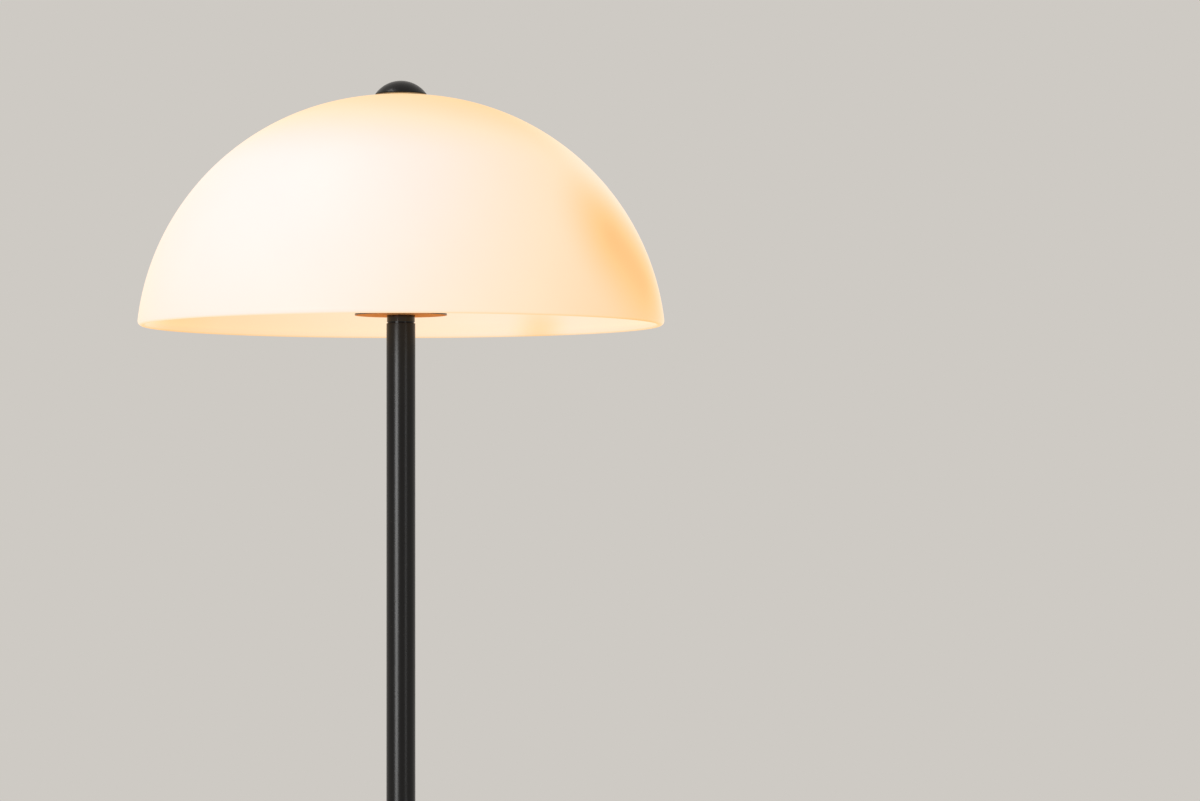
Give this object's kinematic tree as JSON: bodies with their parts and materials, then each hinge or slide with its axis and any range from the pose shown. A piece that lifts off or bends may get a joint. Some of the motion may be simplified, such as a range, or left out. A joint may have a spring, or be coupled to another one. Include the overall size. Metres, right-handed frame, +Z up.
{
  "type": "mushroom floor lamp",
  "caption": "Slim black floor lamp with a glowing opal-glass mushroom dome, clamped at its crown by a black finial over a round weighted base.",
  "frame": {"origin": "centre of the underside of the base pad, on the floor", "axes": "+Z up along the stem, +Y towards the cord inlet at the rear, -Y towards the viewer"},
  "size_m": [0.4, 0.4, 1.502],
  "materials": {
    "opal_glass": "blown opal glass, glossy outside, glowing warm white",
    "black_metal": "satin black lacquer",
    "black_polished": "gloss black plating that mirrors the glow",
    "white_enamel": "white enamel on a casting",
    "zinc_steel": "zinc-plated steel",
    "raw_iron": "grey primer on a rough casting",
    "brass_insert": "turned brass",
    "felt_pad": "black foam rubber",
    "clear_silicone": "milky silicone",
    "black_nylon": "moulded black nylon",
    "clear_nylon": "natural nylon",
    "black_bakelite": "moulded black thermoset",
    "holder_ceramic": "unglazed white ceramic",
    "white_plastic": "white moulded collar",
    "frosted_globe": "frosted globe, lit warm white",
    "nickel_cap": "nickel-plated screw cap",
    "black_insulator": "black glass insulator"
  },
  "bodies": {
    "root": {"arm_1": "zinc_steel", "arm_1_nut": "zinc_steel", "arm_2": "zinc_steel", "arm_2_nut": "zinc_steel", "base_cover": "black_metal", "base_flat_washer": "zinc_steel", "base_lock_washer": "zinc_steel", "base_nut": "zinc_steel", "base_pad": "felt_pad", "base_rod": "zinc_steel", "base_weight": "raw_iron", "centre_rod": "zinc_steel", "centre_rod_lower_nut": "zinc_steel", "centre_rod_upper_nut": "zinc_steel", "cord_inlet_bush": "black_nylon", "head_nut": "zinc_steel", "head_rod": "zinc_steel", "holder_1_cap": "black_bakelite", "holder_1_centre_contact": "brass_insert", "holder_1_core": "holder_ceramic", "holder_1_side_contact": "brass_insert", "holder_1_skirt": "black_bakelite", "holder_2_cap": "black_bakelite", "holder_2_centre_contact": "brass_insert", "holder_2_core": "holder_ceramic", "holder_2_side_contact": "brass_insert", "holder_2_skirt": "black_bakelite", "hub_body": "white_enamel", "hub_lid": "white_enamel", "hub_lid_screws": "zinc_steel", "lamp_disc": "black_polished", "neck_ring": "black_polished", "seat_cup": "zinc_steel", "seat_nut": "zinc_steel", "seat_washer": "clear_silicone", "stem_lower_nipple": "zinc_steel", "stem_lower_tube": "black_metal", "stem_middle_tube": "black_metal", "stem_plugs": "zinc_steel", "stem_upper_nipple": "zinc_steel", "stem_upper_tube": "black_metal", "terminal_block": "clear_nylon", "terminal_screws": "brass_insert"},
    "shade": {"shade": "opal_glass"},
    "finial_washer": {"finial_washer": "clear_silicone"},
    "finial": {"finial": "black_metal", "finial_insert": "brass_insert"},
    "bulb_1_contact": {"bulb_1_contact": "nickel_cap"},
    "bulb_1": {"bulb_1_insulator": "black_insulator", "bulb_1_screw_cap": "nickel_cap", "bulb_1_collar": "white_plastic", "bulb_1_globe": "frosted_globe"},
    "bulb_2_contact": {"bulb_2_contact": "nickel_cap"},
    "bulb_2": {"bulb_2_insulator": "black_insulator", "bulb_2_screw_cap": "nickel_cap", "bulb_2_collar": "white_plastic", "bulb_2_globe": "frosted_globe"}
  },
  "joints": [
    {"name": "shade_lift", "type": "slide", "parent": "root", "child": "shade", "axis": [0, 0, 1], "range_m": [0, 0.25]},
    {"name": "finial_rise", "type": "slide", "parent": "shade", "child": "finial_washer", "axis": [0, 0, 1], "range_m": [0, 0.006]},
    {"name": "finial_turn", "type": "hinge", "parent": "finial_washer", "child": "finial", "pos_m": [0, 0, 1.495], "axis": [0, 0, 1], "range_deg": [0, 2160]},
    {"name": "bulb_1_rise", "type": "slide", "parent": "root", "child": "bulb_1_contact", "axis": [0.6275, 0.4394, 0.6428], "range_m": [0, 0.0127]},
    {"name": "bulb_1_turn", "type": "hinge", "parent": "bulb_1_contact", "child": "bulb_1", "pos_m": [0.0753, 0.05273, 1.40769], "axis": [0.6275, 0.4394, 0.6428], "range_deg": [0, 1260]},
    {"name": "bulb_2_rise", "type": "slide", "parent": "root", "child": "bulb_2_contact", "axis": [-0.6275, -0.4394, 0.6428], "range_m": [0, 0.0127]},
    {"name": "bulb_2_turn", "type": "hinge", "parent": "bulb_2_contact", "child": "bulb_2", "pos_m": [-0.0753, -0.05273, 1.40769], "axis": [-0.6275, -0.4394, 0.6428], "range_deg": [0, 1260]}
  ],
  "couplings": [
    {"joint": "finial_rise", "follows": "finial_turn", "m_per_rad": 0.00015915},
    {"joint": "bulb_1_rise", "follows": "bulb_1_turn", "m_per_rad": 0.00057614},
    {"joint": "bulb_2_rise", "follows": "bulb_2_turn", "m_per_rad": 0.00057614}
  ]
}
